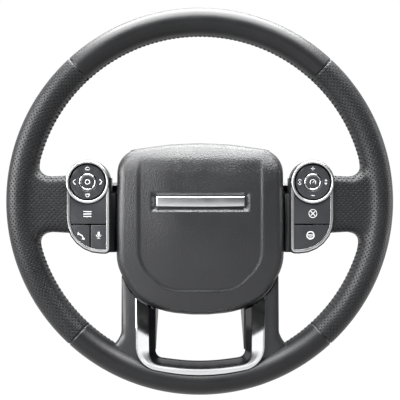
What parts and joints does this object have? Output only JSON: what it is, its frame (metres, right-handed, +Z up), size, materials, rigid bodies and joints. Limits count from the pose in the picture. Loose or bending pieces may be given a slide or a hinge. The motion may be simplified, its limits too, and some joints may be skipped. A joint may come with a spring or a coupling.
{
  "type": "car steering wheel",
  "caption": "Leather-covered car steering wheel with airbag module, horn press, two switch packs and a chrome lower trim.",
  "frame": {"origin": "centre of the shaft bore at the hub's rear face", "axes": "+Y along the shaft away from the driver, +X to the driver's right, +Z up with the wheel straight ahead"},
  "size_m": [0.386, 0.082, 0.386],
  "materials": {
    "leather": "smooth dark charcoal leather",
    "perforated_leather": "dark charcoal leather with rows of fine holes",
    "soft_plastic": "fine grained dark grey",
    "cover_skin": "soft-touch grained charcoal",
    "black_plastic": "satin black",
    "key_plastic": "fine matt charcoal",
    "gloss_black": "piano black",
    "satin_chrome": "satin chrome plate",
    "satin_silver": "satin silver paint",
    "bright_chrome": "bright plate",
    "steel": "zinc plated",
    "magnesium": "die cast",
    "foam": "moulded foam",
    "cushion_fabric": "coated woven nylon",
    "nylon": "natural",
    "copper": "bright",
    "board_green": "lacquered"
  },
  "bodies": {
    "wheel": {"armature": "magnesium", "rim_core": "steel", "spline_bush": "steel", "centre_nut": "steel", "rim_foam": "foam", "leather_top": "leather", "leather_bottom": "leather", "leather_left": "perforated_leather", "leather_right": "perforated_leather", "back_cover": "soft_plastic", "back_cover_screws": "steel", "lower_spoke_cover_left": "soft_plastic", "lower_spoke_cover_right": "soft_plastic", "lower_trim": "satin_chrome", "lower_trim_liner": "gloss_black", "guide_bushes": "nylon", "horn_springs": "steel", "horn_contact_fixed": "copper", "switch_screws": "steel", "left_switch_housing": "black_plastic", "left_ring": "satin_silver", "left_key_frame": "satin_silver", "left_switch_board": "board_green", "left_push_switches": "steel", "right_switch_housing": "black_plastic", "right_ring": "satin_silver", "right_key_frame": "satin_silver", "right_switch_board": "board_green", "right_push_switches": "steel"},
    "airbag_module": {"airbag_cover": "cover_skin", "badge_bar": "satin_chrome", "airbag_tray": "steel", "airbag_cushion": "cushion_fabric", "cushion_ring": "steel", "gas_generator": "steel", "generator_nuts": "steel", "guide_pins": "steel", "pin_clips": "steel", "horn_contact_moving": "copper"},
    "left_gimbal": {"left_gimbal": "nylon"},
    "left_pad": {"left_pad": "key_plastic"},
    "left_dome": {"left_dome_ring": "bright_chrome", "left_dome_key": "key_plastic"},
    "left_upper_key": {"left_upper_key": "key_plastic"},
    "left_outer_key": {"left_outer_key": "key_plastic"},
    "left_inner_key": {"left_inner_key": "key_plastic"},
    "right_gimbal": {"right_gimbal": "nylon"},
    "right_pad": {"right_pad": "key_plastic"},
    "right_dome": {"right_dome_ring": "bright_chrome", "right_dome_key": "key_plastic"},
    "right_upper_key": {"right_upper_key": "key_plastic"},
    "right_lower_key": {"right_lower_key": "key_plastic"}
  },
  "joints": [
    {"name": "horn_press", "type": "slide", "parent": "wheel", "child": "airbag_module", "axis": [0, 1, 0], "range_m": [0, 0.0018], "stiffness_N_per_m": 6000, "deforming": ["horn_springs"]},
    {"name": "left_pad_rock_sideways", "type": "hinge", "parent": "wheel", "child": "left_gimbal", "pos_m": [-0.1109, -0.0673, 0.0192], "axis": [0, 0, 1], "range_deg": [-4, 4], "stiffness_Nm_per_rad": 0.5},
    {"name": "left_pad_rock_up_down", "type": "hinge", "parent": "left_gimbal", "child": "left_pad", "pos_m": [-0.1109, -0.0673, 0.0192], "axis": [1, 0, 0], "range_deg": [-4, 4], "stiffness_Nm_per_rad": 0.5},
    {"name": "left_dome_press", "type": "slide", "parent": "wheel", "child": "left_dome", "axis": [0, 1, 0], "range_m": [0, 0.0008], "stiffness_N_per_m": 1500},
    {"name": "left_upper_key_press", "type": "slide", "parent": "wheel", "child": "left_upper_key", "axis": [0, 1, 0], "range_m": [0, 0.0008], "stiffness_N_per_m": 1500},
    {"name": "left_outer_key_press", "type": "slide", "parent": "wheel", "child": "left_outer_key", "axis": [0, 1, 0], "range_m": [0, 0.0008], "stiffness_N_per_m": 1500},
    {"name": "left_inner_key_press", "type": "slide", "parent": "wheel", "child": "left_inner_key", "axis": [0, 1, 0], "range_m": [0, 0.0008], "stiffness_N_per_m": 1500},
    {"name": "right_pad_rock_sideways", "type": "hinge", "parent": "wheel", "child": "right_gimbal", "pos_m": [0.1109, -0.0673, 0.0192], "axis": [0, 0, 1], "range_deg": [-4, 4], "stiffness_Nm_per_rad": 0.5},
    {"name": "right_pad_rock_up_down", "type": "hinge", "parent": "right_gimbal", "child": "right_pad", "pos_m": [0.1109, -0.0673, 0.0192], "axis": [1, 0, 0], "range_deg": [-4, 4], "stiffness_Nm_per_rad": 0.5},
    {"name": "right_dome_press", "type": "slide", "parent": "wheel", "child": "right_dome", "axis": [0, 1, 0], "range_m": [0, 0.0008], "stiffness_N_per_m": 1500},
    {"name": "right_upper_key_press", "type": "slide", "parent": "wheel", "child": "right_upper_key", "axis": [0, 1, 0], "range_m": [0, 0.0008], "stiffness_N_per_m": 1500},
    {"name": "right_lower_key_press", "type": "slide", "parent": "wheel", "child": "right_lower_key", "axis": [0, 1, 0], "range_m": [0, 0.0008], "stiffness_N_per_m": 1500}
  ]
}
